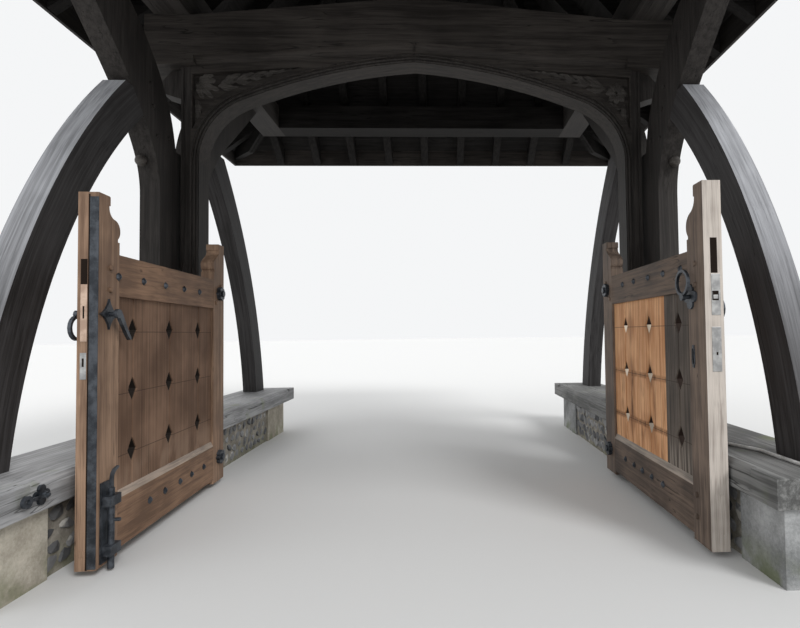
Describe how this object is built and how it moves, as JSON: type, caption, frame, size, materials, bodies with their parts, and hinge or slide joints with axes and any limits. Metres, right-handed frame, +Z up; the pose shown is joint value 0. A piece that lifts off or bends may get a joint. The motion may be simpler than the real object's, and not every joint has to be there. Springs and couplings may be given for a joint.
{
  "type": "lychgate",
  "caption": "Timber lychgate on dwarf walls with seats, an arched and braced frame, a hipped tiled roof and a pair of pierced oak gate leaves that swing on pintles.",
  "frame": {"origin": "on the ground, in the middle of the passage, in the plane of the two moulded posts", "axes": "+X across the passage to the right as one walks in, +Y from the road into the churchyard, +Z up"},
  "size_m": [4.248, 4.77, 5.1647],
  "materials": {
    "dark_oak": "dark weathered oak, nearly black",
    "strut_oak": "silver-grey weathered oak, dark on the sheltered sides",
    "sill_oak": "worn grey oak",
    "gate_oak": "brown oak, dry and open grained",
    "new_oak": "grey-brown oak with newer orange boards",
    "black_iron": "blackened wrought iron",
    "steel_rod": "dull bare steel",
    "pier_stone": "rough dressed stone",
    "knapped_flint": "dark flints in pale mortar",
    "clay_tile": "plain red clay tiles"
  },
  "bodies": {
    "frame": {"front_plate": "dark_oak", "front_rafters": "dark_oak", "front_tiled_slope": "clay_tile", "hip_rafters": "dark_oak", "left_arch_brace": "dark_oak", "left_flint_wall": "knapped_flint", "left_front_brace": "dark_oak", "left_front_strut": "strut_oak", "left_hook_plate": "black_iron", "left_pintles": "black_iron", "left_post": "dark_oak", "left_rafters": "dark_oak", "left_rear_brace": "dark_oak", "left_rear_strut": "strut_oak", "left_side_post": "dark_oak", "left_sill": "sill_oak", "left_stone_piers": "pier_stone", "left_tiled_slope": "clay_tile", "left_wall_plate": "dark_oak", "rear_plate": "dark_oak", "rear_rafters": "dark_oak", "rear_tiled_slope": "clay_tile", "ridge_board": "dark_oak", "right_arch_brace": "dark_oak", "right_flint_wall": "knapped_flint", "right_front_brace": "dark_oak", "right_front_strut": "strut_oak", "right_pintles": "black_iron", "right_post": "dark_oak", "right_rafters": "dark_oak", "right_rear_brace": "dark_oak", "right_rear_strut": "strut_oak", "right_side_post": "dark_oak", "right_sill": "sill_oak", "right_stay_rod": "steel_rod", "right_stone_piers": "pier_stone", "right_tiled_slope": "clay_tile", "right_wall_plate": "dark_oak", "tie_beam": "dark_oak"},
    "right_gate": {"right_hinge_stile": "gate_oak", "right_meeting_stile": "gate_oak", "right_top_rail": "gate_oak", "right_bottom_rail": "gate_oak", "right_boards": "new_oak", "right_hinge_irons": "black_iron", "right_latch_plate": "black_iron"},
    "left_gate": {"left_hinge_stile": "gate_oak", "left_meeting_stile": "gate_oak", "left_top_rail": "gate_oak", "left_bottom_rail": "gate_oak", "left_boards": "gate_oak", "left_hinge_irons": "black_iron", "left_latch_plate": "black_iron", "left_bolt_keeps": "black_iron"},
    "right_latch": {"right_latch_handle": "black_iron"},
    "left_latch": {"left_latch_handle": "black_iron"},
    "drop_bolt": {"left_drop_bolt": "black_iron"},
    "hold_back_hook": {"left_hook": "black_iron"}
  },
  "joints": [
    {"name": "right_gate_hinge", "type": "hinge", "parent": "frame", "child": "right_gate", "pos_m": [1.2955, -0.152, 0.7], "axis": [0, 0, -1], "range_deg": [0, 90]},
    {"name": "left_gate_hinge", "type": "hinge", "parent": "frame", "child": "left_gate", "pos_m": [-1.2955, -0.152, 0.7], "axis": [0, 0, 1], "range_deg": [0, 87.7]},
    {"name": "right_latch_turn", "type": "hinge", "parent": "right_gate", "child": "right_latch", "pos_m": [1.24, -1.332, 1.04], "axis": [1, 0, 0], "range_deg": [-25, 25]},
    {"name": "left_latch_turn", "type": "hinge", "parent": "left_gate", "child": "left_latch", "pos_m": [-1.19068, -1.37878, 0.991], "axis": [0.9992, 0.0401, 0], "range_deg": [-25, 25]},
    {"name": "drop_bolt_slide", "type": "slide", "parent": "left_gate", "child": "drop_bolt", "axis": [0, 0, 1], "range_m": [0, 0.04]},
    {"name": "hook_turn", "type": "hinge", "parent": "frame", "child": "hold_back_hook", "pos_m": [-1.271, -1.524, 0.34], "axis": [1, 0, 0], "range_deg": [-60, 60]}
  ]
}
